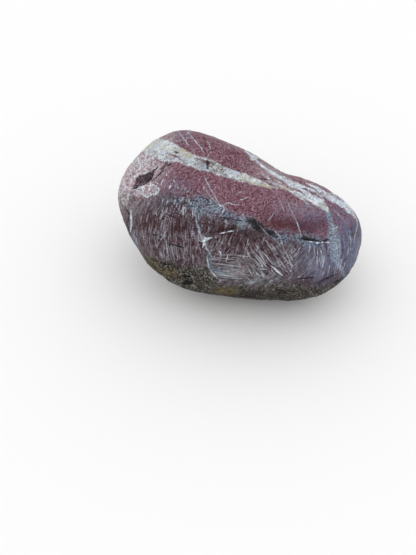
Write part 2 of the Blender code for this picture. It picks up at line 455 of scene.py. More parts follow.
# white bruises, chipped edges and scratches
BRIGHT_MARKS = (
    # the star on the front
    ((198, 240, 0.4), (201, 241.5, 0.9), (204, 240.5, 2.4), (207, 239, 2.8), (210, 238, 1.2),
     (213, 237.4, 0.3)),
    ((203, 236, 0.3), (205, 238, 0.8), (206, 240, 1.4)),
    ((205, 241, 2.2), (203.5, 245, 1.4), (202.5, 248, 0.4)),
    # the dash
    ((219, 233.8, 0.3), (222, 233, 0.9), (225, 232.4, 0.7)),
    ((226.5, 232.2, 0.4), (230, 231.2, 1.2), (234, 230.8, 0.4)),
    # the edge under the dark crack
    ((307.5, 241, 0.5), (310, 241.6, 1.4), (313, 241.8, 0.5)),
    ((315, 242.4, 0.5), (317.5, 243, 1.6), (319.5, 242.6, 0.5)),
    ((321, 242.4, 0.4), (323, 242.2, 1.2), (324, 242.4, 0.4)),
    ((325.5, 242.6, 0.5), (328, 242.4, 1.6), (330, 242.8, 0.5)),
    ((333, 229, 0.4), (336, 228, 1.4), (338, 226, 0.6)),
    ((320, 248, 0.3), (322, 255, 0.6), (322, 262, 0.3)),
    # round the pocket
    ((132, 190.4, 0.6), (136, 188.6, 2), (141, 187.6, 1.8), (147, 185.4, 0.7)),
    ((133, 190, 0.7), (140, 191, 0.8), (144, 194, 1.2), (147, 197, 0.8), (151, 195, 1.1),
     (155, 194, 1.1), (157, 191, 0.5)),
    ((148, 192, 0.7), (150, 188, 1.3), (151, 184, 1.1), (150, 182, 0.5)),
    ((142, 172, 0.5), (145, 173, 1.6), (148, 172, 0.5)),
    ((166, 173, 0.5), (167, 175, 1.1), (166, 176, 0.4)),
    ((169, 189, 0.5), (170, 187, 1.5), (171, 185, 0.5)),
    ((155, 181, 0.4), (157, 183, 1), (158, 184, 0.4)),
    # over the cheek of the wide end
    ((138, 155, 0.8), (138, 160, 1.6), (140, 165, 1.8), (139, 171, 0.8)),
    ((147, 150, 1.8), (146, 156, 1.5), (144, 162, 0.7)),
    ((133, 164, 0.5), (136, 165, 1.1), (139, 169, 0.7)),
    ((152, 157, 1.1), (153, 158, 1.9), (153, 159, 1)),
    ((127, 184, 0.4), (126, 187, 1.1), (124, 191, 0.4)),
    ((122, 197, 0.3), (122, 201, 0.8), (124, 205, 0.3)),
    ((129, 193, 0.7), (128, 196, 1.5), (128, 200, 0.8)),
    ((131, 210, 1.1), (130, 214, 1.8), (131, 220, 1.6), (131, 227, 1.6), (130, 232, 1)),
    ((134, 192, 0.5), (136, 196, 1), (138, 192, 0.7)),
    ((148.4, 189, 0.4), (151.3, 185, 1), (156.3, 186.3, 0.8), (159, 190.6, 1), (155, 195, 0.8),
     (149, 193.4, 0.4)),
    ((136.4, 174.6, 0.4), (135, 177, 1.1), (134.6, 180, 0.4)),
    ((153.6, 179.6, 0.3), (156.5, 177.5, 0.9), (159.4, 175.4, 0.3)),
    ((161.3, 185, 0.3), (162, 182, 0.9), (163.4, 179, 0.3)),
    ((173.4, 179, 0.3), (174.2, 181, 0.9), (175, 183.4, 0.3)),
    ((177, 185, 0.3), (178, 187, 0.8), (179, 189, 0.3)),
    ((140.6, 193.4, 0.3), (144, 196, 0.9), (147.7, 197.7, 0.3)),
    ((146, 163, 0.3), (148.4, 165.4, 1), (150, 168.6, 0.3)),
    ((131, 172, 0.3), (132.6, 176, 0.9), (131.4, 180, 0.3)),
    ((152, 163, 0.3), (154.4, 166, 0.8), (155, 170, 0.3)),
    # single scratches
    ((270, 265, 0.5), (274, 269, 1.1), (279, 273, 1.2), (283, 276, 0.6)),
    ((211, 270, 0.5), (213, 273, 0.9), (217, 277, 0.5)),
    ((204, 187, 0.8), (204, 190, 0.9)),
    ((185, 188, 0.6), (185, 191, 0.8)),
    ((188, 190, 0.5), (188, 192, 0.8)),
    ((296, 239, 0.5), (297, 236, 1), (298, 233, 0.5)),
    ((182, 213, 0.6), (184, 214, 0.9)),
)

# dark cracks and pits
CRACKS = (
    ((126, 209, 0.5), (127.5, 212, 1.2), (128, 216, 0.8), (127.5, 220, 1.0), (127, 224, 0.6),
     (128, 228, 1.2), (129, 232, 0.6)),
    ((167, 245, 0.5), (171, 245, 1.7), (175, 246, 1), (179, 247, 1.7), (184, 248, 0.7)),
    ((216, 232, 0.4), (222, 230, 0.9), (229, 229, 1), (236, 228, 0.6)),
    ((303, 239, 1), (309, 240, 2), (315, 240, 1.4), (321, 241, 0.9), (326, 240, 1.7), (330, 239, 0.8)),
    ((152, 180, 0.7), (156, 177, 1.4), (160, 173, 1.3), (163, 169, 1)),
    ((151, 173, 1.6), (155, 169, 1.4), (158, 166, 0.8)),
    ((167, 165, 1), (169, 164, 2), (170, 163, 1)),
    ((132, 188, 0.8), (136, 188, 1.4), (138, 187, 0.7)),
    ((206, 160, 0.8), (208, 162, 3), (207, 166, 1), (208, 169, 1.8)),
    ((174, 151, 0.8), (176, 152, 1.8), (178, 152, 0.6)),
    ((155, 152, 0.5), (156, 152, 1)),
    ((187, 190, 1), (187, 191, 1.3)),
    ((258, 178, 0.5), (263, 179, 1), (269, 179, 0.6)),
    ((160, 262, 0.8), (163, 264, 1.8), (168, 265, 1.4), (173, 264, 0.8)),
    ((182, 277, 0.8), (186, 277, 2.6), (191, 277, 1)),
    ((182, 283, 1), (188, 283, 4), (193, 282, 2)),
    ((277, 290, 0.6), (282, 291, 1.6), (286, 292, 0.7)),
    ((296, 279, 0.7), (303, 279, 1.4), (309, 278, 1.2), (315, 277, 0.6)),
    ((317, 284, 0.6), (322, 281, 1.3), (327, 278, 1.2), (332, 276, 1), (337, 274, 0.5)),
    ((335, 283, 1.4), (337, 282, 2.2), (339, 280, 0.8)),
    ((346, 277, 0.8), (347, 277, 1.6), (349, 276, 0.6)),
    ((153, 233, 0.8), (154, 235, 1.4), (156, 236, 0.6)),
    ((158, 235, 0.6), (160, 237, 1.6), (162, 238, 0.5)),
)

# near-black stains, and the blue-grey ones round them, along the ridge over the front
DARK_STAINS = (
    ((244, 222, 1), (249, 221, 4), (254, 223, 8), (259, 227, 8.6), (264, 230.6, 4.4), (270, 233, 5),
     (276, 236, 2)),
    ((300, 237.4, 0.6), (304, 237.8, 3.2), (309, 239, 3.6), (315, 240, 1.2)),
    ((188, 203, 0.6), (192, 201, 1.6), (197, 202, 0.8)),
    ((203, 198, 0.6), (207, 200, 1.6), (209, 203, 0.8)),
    ((216, 216, 0.5), (224, 218, 1.6), (234, 219.6, 1.4), (242, 221, 0.8)),
    ((192, 188, 0.6), (189, 193, 1.8), (184, 196, 0.8)),
)
BLUE_REACH = 16.0  # pixels
BLUE_STAINS = (
    ((164, 199, 1), (176, 201, 3), (190, 204, 8), (203, 206, 16), (214, 210, 15), (226, 215, 12),
     (238, 219, 10), (247, 220, 9), (256, 224, 8), (268, 232, 4), (278, 235, 9), (290, 237, 10),
     (301, 239, 13), (312, 241, 14), (322, 242, 9)),
    ((196, 214, 1.4), (199, 226, 1), (202, 236, 1.6), (206, 246, 2), (209, 258, 3), (213, 268, 5),
     (224, 273, 5)),
    ((344, 228, 4), (349, 240, 9), (351, 254, 9), (349, 268, 5)),
)

# Combs of parallel scratches: the middles of the first and last strokes, how many strokes,
# their direction in degrees (0 right, 90 up) at each end, their length, and how bright.
COMBS = (
    ((257, 263), (265, 256), 5, -57, -55, 22, 0.9),
    ((266, 252), (276, 246), 5, -54, -50, 13, 0.6),
    ((270, 248), (282, 243), 6, -50, -52, 11, 0.55),
    ((276, 266), (291, 258), 8, -52, -58, 15, 0.65),
    ((274, 272), (280, 268), 3, -42, -44, 14, 0.9),
    ((263, 268), (268, 262), 3, -56, -56, 12, 0.7),
    ((292, 250), (298, 263), 6, 45, 48, 9, 0.6),
    ((311, 266), (324, 258), 8, 88, 90, 15, 0.5),
    ((306, 249), (331, 250), 11, 86, 92, 8, 0.4),
    ((296, 266), (300, 280), 5, 84, 78, 11, 0.5),
    ((234, 255), (231, 265), 5, 1, 2, 19, 0.5),
    ((228, 268), (234, 279), 6, -6, -2, 17, 0.45),
    ((241, 260), (251, 250), 5, -50, -54, 12, 0.5),
    ((251, 283), (262, 276), 5, 30, 24, 11, 0.75),
    ((250, 272), (263, 277), 5, -62, -66, 8, 0.6),
    ((266, 286), (276, 279), 5, 50, 44, 8, 0.6),
    ((243, 276), (250, 264), 5, 20, -30, 9, 0.4),
    ((151, 232), (201, 240), 17, 86, 92, 14, 0.35),
    ((156, 256), (206, 262), 17, 84, 94, 12, 0.32),
    ((148, 218), (194, 224), 15, 84, 96, 10, 0.35),
    ((214, 243), (252, 238), 15, 74, 66, 10, 0.45),
    ((217, 253), (248, 249), 11, 76, 70, 8, 0.4),
    ((239, 213), (265, 218), 11, 60, 66, 6, 0.5),
    ((182, 204), (216, 213), 13, 74, 84, 7, 0.32),
    ((156, 190), (190, 188), 10, 68, 76, 9, 0.45),
    ((210, 218), (236, 222), 9, 86, 80, 6, 0.35),
    ((262, 236), (280, 246), 7, 40, 44, 7, 0.4),
    ((214, 184), (250, 190), 11, 70, 58, 4, 0.35),
    ((232, 160), (262, 174), 10, 52, 60, 5, 0.4),
    ((312, 182), (345, 200), 10, 76, 60, 4, 0.5),
    ((333, 236), (336, 248), 6, 4, 10, 8, 0.5),
    ((310, 232), (326, 238), 5, 8, 4, 12, 0.4),
    ((125, 172), (136, 180), 6, 60, 56, 8, 0.5),
    ((133, 162), (160, 158), 11, 78, 62, 9, 0.6),
    ((140, 170), (160, 162), 7, 60, 48, 6, 0.5),
    ((138, 193), (162, 186), 10, 66, 84, 7, 0.55),
    ((121, 184), (127, 208), 7, 74, 96, 8, 0.5),
    ((164, 180), (184, 190), 9, 76, 70, 7, 0.5),
    ((166, 196), (196, 204), 12, 84, 76, 6, 0.25),
    ((343, 252), (350, 262), 4, 50, 60, 6, 0.35),
)

# How the fine strokes lie, drawn as seen: the middle, half width, half height and tilt of each
# area in pixels, the strokes' direction in degrees, and their length and spacing in mm.
SEEN_HATCH = (
    (168, 238, 34, 28, -12, 88, 4.5, 0.72),
    (228, 243, 26, 15, 0, 69, 4.0, 0.80),
    (228, 267, 20, 12, 0, -5, 7.0, 0.92),
    (266, 258, 20, 20, 0, -53, 8.0, 1.05),
    (297, 255, 13, 15, 0, 50, 5.5, 0.95),
    (326, 255, 20, 20, 0, 87, 6.0, 0.85),
    (266, 284, 26, 8, 0, 42, 4.0, 0.85),
    (208, 209, 28, 11, -8, 78, 3.0, 0.80),
)

# The same on the other sides: azimuth, elevation and spread in degrees, then as above.
UNSEEN_HATCH = (
    (100, 22, 26, 62, 4.0, 1.0),
    (136, -14, 24, -48, 5.0, 1.0),
    (70, -14, 24, 80, 4.5, 1.0),
    (172, 6, 26, 84, 4.2, 1.0),
    (20, -10, 24, -70, 4.5, 1.0),
    (104, -30, 20, 20, 5.0, 1.0),
)

STROKE_SHARE = 1.3  # how densely the fine strokes fill their areas
STROKE_SWAY = 0.1  # how far they stray from their area's direction
STROKE_MESH = (0.44, 0.37)  # mm between points, where they begin to show and where all of them do
# Half a stroke's length as a share of its area's, its width in mm, and how bright it is.
FINE_HALF, FINE_WIDTH, FINE_THIN, FINE_BRIGHT = (0.2, 0.55), (0.1, 0.36), 0.05, (0.25, 0.9)
FINE_REACH = 0.9  # mm: how far from a stroke its distance is told
FINE_EDGE = (0.6, -0.12)  # from its edge: outside as a share of the mesh's spacing, inside in mm
FAINTEST_AREA = 0.02  # no strokes where an area's mask is weaker
UNSEEN_FADE = (0.15, -0.1)  # where the areas on the hidden sides begin, by the cosine to the camera
EVEN_HATCH = 0.12  # holds the areas' masks down where none of them is strong
UNSEEN_BOOST = 0.5  # how much stronger they are on the hidden sides, where the mesh is coarser

# How far the strokes of a comb stray: pixels sideways, degrees of turn, and bend for their length.
COMB_SHIFT, COMB_TURN, COMB_BEND = 0.9, 5.0, 0.08
COMB_REACH = 3.0  # pixels: how far from a stroke its distance is told
# Half a stroke's length as a share of its comb's, its width in pixels, and how bright it is.
COMB_HALF, COMB_WIDTH, COMB_THIN, COMB_BRIGHT = (0.3, 0.6), (0.7, 1.5), 0.2, (0.55, 1.0)
COMB_EDGE = (0.5, -0.4)  # pixels from its edge

HIDDEN_BUNDLES = 30  # bundles of scratches on the hidden sides
HIDDEN_LOWEST = 22.0  # mm: no bundle starts lower, where the crust is
HIDDEN_FACING = 0.15  # nor where the camera sees the skin, by the cosine to it
HIDDEN_TURNS, HIDDEN_SWAY = (1.5, 1.0, -0.9, 0.1), 0.25  # radians from level, and how they stray
HIDDEN_LENGTH, HIDDEN_STRENGTH = (3.0, 7.0), (0.25, 0.6)  # a bundle's strokes: mm, and how bright
HIDDEN_COUNT, HIDDEN_GAP = (3, 8), (1.3, 1.8)  # how many, and mm between them
HIDDEN_ASIDE, HIDDEN_ALONG = 0.3, 1.0  # mm: how far each strays across and along
# Half a stroke's length as a share of its bundle's, its width in mm, and how bright it is.
HIDDEN_HALF, HIDDEN_WIDTH, HIDDEN_THIN, HIDDEN_BRIGHT = (0.3, 0.6), (0.4, 0.7), 0.1, (0.6, 1.0)
HIDDEN_REACH, HIDDEN_EDGE = 1.2, (0.50, -0.25)  # mm: how far off it is told, and its soft edge
SEED = 7  # of every random draw

# Paths on the sides that the camera doesn't see: azimuth, elevation and width in mm.
HIDDEN_VEINS = (
    # the main vein goes on over the wide end and down its back
    ((185, 33, 6), (183, 26, 5), (179, 19, 3.4), (176, 12, 4.4), (172, 4, 3), (171, -4, 3.8),
     (166, -13, 2.2), (163, -22, 2.8), (156, -30, 1.6), (150, -38, 0.6)),
    ((176, 14, 0.6), (168, 10, 1.6), (162, 3, 0.8), (160, -6, 1.3), (154, -16, 0.4)),
    # the second vein goes on over the back rim and down the back
    ((92, 68, 1), (95, 58, 2.4), (94, 48, 1.4), (98, 38, 3.2), (101, 29, 2.2), (107, 19, 3.6),
     (110, 8, 1.8), (114, -2, 2.6), (112, -13, 1.2), (113, -24, 1.8), (107, -34, 0.6)),
    ((99, 33, 0.5), (91, 26, 1.2), (88, 17, 0.7), (82, 9, 1.2), (80, -2, 0.5)),
    # the shoulder's vein wraps the narrow end
    ((16, 27, 1.2), (25, 20, 2.6), (33, 12, 1.4), (37, 3, 2.2), (42, -6, 1.2), (41, -16, 2.4),
     (44, -28, 0.8)),
    ((36, 4, 0.5), (48, 1, 1.2), (57, -5, 0.7), (68, -6, 1.1), (76, -12, 0.3)),
    # a cross vein over the back of the wide end
    ((175, 2, 1), (163, 9, 2.2), (152, 11, 1.1), (142, 17, 2), (131, 19, 0.9), (121, 24, 1.6),
     (112, 22, 0.4)),
)
HIDDEN_THREADS = (
    ((60, 46, 0.3), (66, 30, 0.6), (78, 16, 0.5), (92, 6, 0.7), (110, -2, 0.3)),
    ((62, 50, 0.2), (72, 36, 0.5), (80, 22, 0.4), (83, 12, 0.2)),
    ((140, 60, 0.3), (134, 42, 0.6), (138, 26, 0.5), (150, 10, 0.6), (154, -8, 0.3)),
    ((30, 36, 0.3), (46, 22, 0.6), (60, 6, 0.5), (66, -12, 0.6), (60, -30, 0.3)),
    ((84, -6, 0.3), (96, -18, 0.6), (116, -26, 0.4), (138, -24, 0.5), (160, -30, 0.3)),
    ((178, 44, 0.3), (160, 38, 0.5), (146, 44, 0.6), (126, 50, 0.3)),
    ((146, -4, 0.2), (134, 2, 0.5), (126, -6, 0.4), (118, -8, 0.2)),
    ((190, 12, 0.2), (187, 2, 0.6), (192, -10, 0.5), (188, -22, 0.3)),
    ((204, 6, 0.2), (200, -3, 0.5), (204, -12, 0.3)),
    ((20, -30, 0.4), (4, -44, 0.7), (-30, -56, 0.4)),
    ((250, -60, 0.4), (230, -50, 0.6), (200, -44, 0.6), (184, -36, 0.3)),
)
HIDDEN_CRACKS = (
    ((132, 12, 0.2), (122, 7, 0.6), (110, 9, 0.4), (100, 7, 0.2)),
    ((50, -4, 0.2), (56, -14, 0.6), (66, -20, 0.2)),
    ((160, -36, 0.2), (146, -40, 0.7), (130, -38, 0.3)),
    ((196, -8, 0.2), (192, -14, 0.5), (182, -16, 0.2)),
    ((24, 8, 0.2), (22, 0, 0.5), (26, -8, 0.2)),
)

# Where each stain, painted sheen and painted shade shows, in soft patches: strength, then the
# middle, half width and half height in pixels, and for some a tilt in degrees.
SEEN_PATCHES = {
    "blue": (  # blue-grey
        (0.2, 165, 205, 20, 8), (0.25, 180, 188, 16, 9), (0.7, 242, 223, 6, 6), (0.9, 201, 203, 9, 8),
    ),
    "haze": (  # bruised and pale
        (1, 138, 162, 18, 24, 20), (0.8, 147, 190, 9, 7), (0.7, 126, 190, 9, 16),
        (0.4, 266, 176, 18, 8, -30), (0.5, 170, 137, 8, 6), (0.2, 302, 208, 26, 7, -10),
        (0.4, 160, 167, 9, 7), (0.12, 136, 208, 12, 12), (0.35, 240, 268, 9, 8), (0.4, 360, 246, 5, 14),
        (0.25, 320, 266, 18, 8),
    ),
    # lilac stains, and on the narrow end a painted reflection of bluish sky light
    "lilac_stain_and_sky_sheen": (
        (1.2, 354, 247, 15, 34), (1, 322, 264, 26, 18), (0.5, 181, 134, 10, 6),
        (0.6, 302, 214, 28, 10, -10), (0.35, 171, 188, 17, 10),
    ),
    "frost": (  # cold and pale between the strokes
        (1.2, 238, 272, 22, 12), (0.3, 266, 262, 22, 18, -40), (0.8, 317, 262, 22, 13),
        (0.25, 203, 262, 12, 12), (0.5, 170, 252, 20, 10, -20), (0.8, 262, 282, 30, 7),
        (0.9, 242, 224, 6, 7), (0.35, 206, 206, 16, 8),
    ),
    "deep": (  # deep red, with few strokes
        (1, 232, 232, 26, 7, -6), (1, 288, 224, 34, 8, -8), (0.5, 228, 246, 26, 9),
        (0.6, 170, 226, 26, 9, -5), (0.3, 250, 238, 14, 7), (0.5, 300, 262, 10, 9),
        (0.4, 318, 222, 18, 9), (1, 207, 229, 8, 8), (0.9, 230, 228, 10, 5), (0.7, 259, 234, 14, 5, 15),
        (0.7, 188, 222, 12, 7), (0.5, 174, 206, 16, 8),
    ),
    "painted_shade": (  # painted shade, mostly low down
        (1, 146, 222, 9, 12, -30), (0.35, 300, 268, 9, 9), (0.5, 295, 282, 30, 5), (1, 244, 296, 52, 6),
        (0.7, 338, 277, 9, 8), (0.5, 180, 209, 20, 6, 10),
    ),
    "pale": (  # white in the quartz
        (1, 160, 148, 20, 8, -10), (0.9, 196, 161, 9, 6, -30), (0.9, 232, 171, 9, 4, -30),
        (1, 253, 157, 8, 4, -40), (1, 277, 174, 10, 5, -35), (1, 300, 191, 20, 7, -35),
        (0.9, 340, 203, 14, 5, -35),
    ),
    "cream": (  # cream in the quartz
        (1, 185, 152, 8, 5, -30), (0.9, 246, 178, 10, 4, -20), (0.9, 264, 186, 12, 2, -15),
        (1, 324, 208, 5, 3), (0.8, 284, 188, 8, 3, -25), (0.4, 215, 169, 9, 4), (0.8, 150, 146, 12, 8),
        (0.4, 168, 150, 10, 6),
    ),
    "soiled": (  # grey dirt in the quartz
        (1.3, 214, 167, 15, 7, -20), (0.5, 176, 155, 7, 5), (0.5, 194, 161, 6, 5),
    ),
    "tan": (  # tan in the crust
        (1, 226, 291, 12, 4), (0.6, 160, 268, 20, 5, -28),
    ),
}

# The same by angle, on any side: strength, azimuth, elevation and spread in degrees.
UNSEEN_PATCHES = {
    "blue": ((0.6, 140, -2, 14), (0.5, 60, 24, 12), (0.5, 80, -20, 12)),
    "navy": ((0.6, 128, 6, 6), (0.5, 66, 30, 5)),
    "haze": ((0.6, 188, 6, 18), (0.4, 120, 34, 12)),
    # the lilac stains and the painted sky sheen go on round the narrow end and the back
    "lilac_stain_and_sky_sheen": ((0.8, 12, 0, 24), (0.4, 95, -10, 16)),
    "frost": ((0.8, 130, -16, 16), (0.6, 84, -10, 14), (0.6, 176, -4, 14), (0.6, 30, -12, 14)),
    "deep": ((0.6, 110, 8, 16), (0.5, 160, 14, 12), (0.5, 50, 0, 12)),
    "soiled": ((0.4, 176, 8, 12), (0.4, 104, 14, 12)),
    "tan": ((0.5, 40, -34, 9),),
}

# Lines from left to right in pixels: the ridge between the top and the front, and the crust's
# upper edge.
RIDGE = (
    (115, 190), (140, 200), (170, 192), (200, 208), (240, 224), (280, 234), (335, 243), (365, 215),
)
CRUST_EDGE = (
    (125, 246), (150, 256), (165, 259), (185, 262), (205, 267), (225, 280), (250, 288), (275, 285),
    (300, 283), (325, 283), (352, 269),
)

# Where the worn film and the crust lie: below those lines, and on the hidden sides by how steep
# the skin is and how high.
BEHIND_FADE = (0.3, 0.05)  # where the hidden sides begin, by the cosine to the camera
RIDGE_FADE, CRUST_FADE = (-7, 5), (-12, 12)  # pixels below the ridge and below the crust's edge
STEEP_FADE = (0.75, 0.3)  # by the upward part of the skin's normal
CRUST_HEIGHT, HEIGHT_FADE = 17.0, (9.0, -7.0)  # mm above the floor, and from that height
BLUE_EDGE, DARK_EDGE = (1.6, -2.6), (1.0, -0.8)  # mm from the stains' edges

# Chipped pockets: the outline in pixels, the depth and the width of the wall in mm.
POCKETS = (
    (((136, 177), (140, 175), (145, 173.5), (149.5, 171.5), (153.5, 171), (153.5, 174), (152, 179),
      (148.5, 182.5), (144, 185), (139, 187), (135, 189.5), (132, 190), (132.5, 186.5), (135, 182.5)),
     1.7, 0.8),
    (((158, 170), (161, 166), (165, 161.5), (169, 160.5), (168, 163), (165, 167.5), (161, 171)), 0.6, 0.6),
    (((151, 180), (156, 176), (160, 172.5), (163, 168.5), (164, 169.5), (160, 175), (155, 179),
      (152, 181.5)), 0.5, 0.4),
)
# A pocket's floor is deepest up and to the right of its middle, in pixels.
FLOOR_LEAN, FLOOR_RUN, FLOOR_CHANGE = 0.3, 14.0, 0.4
FLOOR_UNEVENNESS, WALL_UNEVENNESS = 0.25, 0.16
POCKET_PLACE = (208, 24)  # azimuth and elevation of the CAD solid's own, plainer pocket
POCKET_REACH = 10.0  # degrees around it that are filled in before the pockets are cut
POCKET_FILLING = 700  # rounds of smoothing that fill it

# Small chips: x and y in pixels or azimuth and elevation in degrees, radius and depth in mm.
SEEN_CHIPS = (
    (168, 164, 0.8, 0.35), (187, 282, 1.6, 0.5), (157, 235, 1.0, 0.3), (218, 214, 1.2, 0.25),
    (338, 281, 1.2, 0.4), (256, 225, 1.4, 0.3), (129, 214, 0.9, 0.4), (301, 284, 1.3, 0.3),
    (241, 289, 1.8, 0.35), (272, 234, 1.0, 0.25),
)
UNSEEN_CHIPS = (
    (122, -6, 2.2, 0.55), (150, 26, 1.5, 0.4), (72, 10, 1.7, 0.4), (178, -12, 2.0, 0.5),
    (36, -14, 1.4, 0.4), (96, 44, 1.2, 0.3), (204, -6, 1.3, 0.4), (100, -22, 2.6, 0.5),
    (146, -20, 1.4, 0.4), (58, -20, 1.8, 0.4), (18, -8, 1.2, 0.35), (128, 14, 1.0, 0.35),
    (218, -14, 1.6, 0.4), (84, -2, 1.1, 0.35), (166, 12, 1.1, 0.3),
)


# ---------------------------------------------------------------- how it is painted and carved


def drawn(stone, seen, unseen=(), reach=BAND_REACH):
    """Signed distance in mm to the nearest of the bands drawn in pixels or by angle."""
    bands = [stone.pixel_band(path, reach) for path in seen]
    bands += [stone.angle_band(path) for path in unseen]
    return np.minimum.reduce(bands)


def stroke(first, middle, last, thick, thin):
    """A path of three points that tapers from its middle to its ends."""
    return np.array(((*first, thin), (*middle, thick), (*last, thin)))


def comb_strokes(comb, dice):
    """The strokes of a comb as paths in pixels, with their brightness."""
    first, last, count, first_turn, last_turn, length, strength = comb
    for share in np.linspace(0.0, 1.0, count):
        middle = np.array(first) * (1 - share) + np.array(last) * share
        middle = middle + dice.uniform(-COMB_SHIFT, COMB_SHIFT, 2)
        turn = first_turn * (1 - share) + last_turn * share + dice.uniform(-COMB_TURN, COMB_TURN)
        turn = math.radians(turn)
        half = length * dice.uniform(*COMB_HALF)
        way = np.array((math.cos(turn), -math.sin(turn))) * half
        bend = np.array((-way[1], way[0])) * dice.uniform(-COMB_BEND, COMB_BEND)
        path = stroke(middle - way, middle + bend, middle + way, dice.uniform(*COMB_WIDTH), COMB_THIN)
        yield path, strength * dice.uniform(*COMB_BRIGHT)


def combed(stone, dice):
    """The combs' scratches, from 0 to 1."""
    out = np.zeros(stone.grid.count)
    for comb in COMBS:
        for path, strength in comb_strokes(comb, dice):
            gap = stone.pixel_band(path, COMB_REACH) / MM_PER_PIXEL
            out = np.maximum(out, strength * smoothstep(*COMB_EDGE, gap))
    return out


def hatch_layers(stone):
    """For each area of strokes: its mask, the axes of its strokes, their length and spacing."""
    out = {}
    for index, (x, y, half_width, half_height, tilt, angle, length, gap) in enumerate(SEEN_HATCH):
        mask = stone.pixel_patch(x, y, half_width, half_height, tilt)
        axes = stone.pixel_frame(x, y, angle)
        out[f"seen_hatch_{index}"] = (mask, axes, length, gap)
    unseen = smoothstep(*UNSEEN_FADE, stone.facing)
    for index, (azimuth, elevation, spread, angle, length, gap) in enumerate(UNSEEN_HATCH):
        mask = stone.angle_patch(azimuth, elevation, spread) * unseen
        axes = stone.angle_frame(azimuth, elevation, angle)
        out[f"unseen_hatch_{index}"] = (mask, axes, length, gap)
    total = sum(mask for mask, *_ in out.values()) + EVEN_HATCH
    total = total / (1.0 + UNSEEN_BOOST * unseen)
    return {name: (mask / total, *rest) for name, (mask, *rest) in out.items()}


def fine_strokes(stone, hatches, dice):
    """Hair-thin scratches thrown by seed over each area of strokes, from 0 to 1."""
    out = np.zeros(stone.grid.count)
    for mask, (along, _, _), length, gap in hatches.values():
        near = np.nonzero(mask > FAINTEST_AREA)[0]
        places, normals = stone.places_mm[near], stone.normals[near]
        directions = stone.grid.directions[near]
        spacing = np.sqrt(stone.cell_areas[near])
        room = mask[near] * stone.cell_areas[near] * smoothstep(*STROKE_MESH, spacing)
        count = int(room.sum() / (length * gap) * STROKE_SHARE)
        if not count:
            continue
        for index in dice.choice(len(near), count, p=room / room.sum()):
            middle, normal = places[index], normals[index]
            way = normalised(along - normal * (along @ normal))
            way = way + np.cross(normal, way) * dice.normal(0.0, STROKE_SWAY)
            half = way * length * dice.uniform(*FINE_HALF)
            first, last = (
                places[np.argmax(directions @ normalised(end - MIDDLE / MM))]
                for end in (middle - half, middle + half)
            )
            path = stroke(first, middle, last, dice.uniform(*FINE_WIDTH), FINE_THIN)
            outer, inner = FINE_EDGE[0] * spacing, FINE_EDGE[1]
            mark = smoothstep(outer, inner, band(places, path, FINE_REACH))
            out[near] = np.maximum(out[near], dice.uniform(*FINE_BRIGHT) * mark)
    return out


def hidden_scratches(stone, dice):
    """Seeded bundles of scratches on the sides that the camera doesn't see."""
    out = np.zeros(stone.grid.count)
    made = 0
    while made < HIDDEN_BUNDLES:
        direction = normalised(dice.normal(size=3))
        index = np.argmax(stone.grid.directions @ direction)
        normal, middle = stone.normals[index], stone.places_mm[index]
        if stone.facing[index] > HIDDEN_FACING or middle[2] < HIDDEN_LOWEST:
            continue
        made += 1
        level = normalised(np.cross((0.0, 0.0, 1.0), normal))
        rise = np.cross(normal, level)
        turn = dice.choice(HIDDEN_TURNS) + dice.uniform(-HIDDEN_SWAY, HIDDEN_SWAY)
        along = level * math.cos(turn) + rise * math.sin(turn)
        across = np.cross(normal, along)
        length, strength = dice.uniform(*HIDDEN_LENGTH), dice.uniform(*HIDDEN_STRENGTH)
        for place in np.arange(dice.integers(*HIDDEN_COUNT)) * dice.uniform(*HIDDEN_GAP):
            centre = middle + across * (place + dice.uniform(-HIDDEN_ASIDE, HIDDEN_ASIDE))
            centre = centre + along * dice.uniform(-HIDDEN_ALONG, HIDDEN_ALONG)
            half = along * length * dice.uniform(*HIDDEN_HALF)
            thick = dice.uniform(*HIDDEN_WIDTH)
            path = stroke(centre - half, centre, centre + half, thick, HIDDEN_THIN)
            mark = smoothstep(*HIDDEN_EDGE, band(stone.places_mm, path, HIDDEN_REACH))
            out = np.maximum(out, strength * dice.uniform(*HIDDEN_BRIGHT) * mark)
    return out


def height_of(line, x):
    """How far down a line drawn from left to right is at each x, in pixels."""
    return np.interp(x, *zip(*line))


def patches(stone, name):
    """A stain's soft patches, seen and unseen, added up."""
    seen = sum(share * stone.pixel_patch(*oval) for share, *oval in SEEN_PATCHES.get(name, ()))
    return seen + sum(share * stone.angle_patch(*spot) for share, *spot in UNSEEN_PATCHES.get(name, ()))


def colour_layers(stone):
    """Where each stain, the painted sheen and shade, the film and the crust lie, from 0 to 1."""
    x, y = stone.pixels[:, 0], stone.pixels[:, 1]
    slow, medium = stone.noise(9.0, 3), stone.noise(3.0, 5)
    behind = smoothstep(*BEHIND_FADE, stone.facing)
    below_ridge = smoothstep(*RIDGE_FADE, y - height_of(RIDGE, x) + slow * 5)
    low_side = smoothstep(*STEEP_FADE, stone.normals[:, 2] + slow * 0.15)
    below_edge = smoothstep(*CRUST_FADE, y - height_of(CRUST_EDGE, x) + slow * 6 + medium * 3)
    height = stone.places_mm[:, 2] - CRUST_HEIGHT
    underneath = smoothstep(*HEIGHT_FADE, height + 6.0 * slow + 3.0 * medium)
    layers = {name: patches(stone, name) for name in (SEEN_PATCHES | UNSEEN_PATCHES)}
    blue_gap = drawn(stone, BLUE_STAINS, reach=BLUE_REACH) + 1.2 * medium
    layers["blue"] += smoothstep(*BLUE_EDGE, blue_gap)
    layers["navy"] += smoothstep(*DARK_EDGE, drawn(stone, DARK_STAINS))
    layers["film"] = below_ridge * (1 - behind) + behind * low_side
    layers["crust_and_shade"] = below_edge * (1 - behind) + underneath * behind
    return {name: np.clip(values, 0, 1) for name, values in layers.items()}


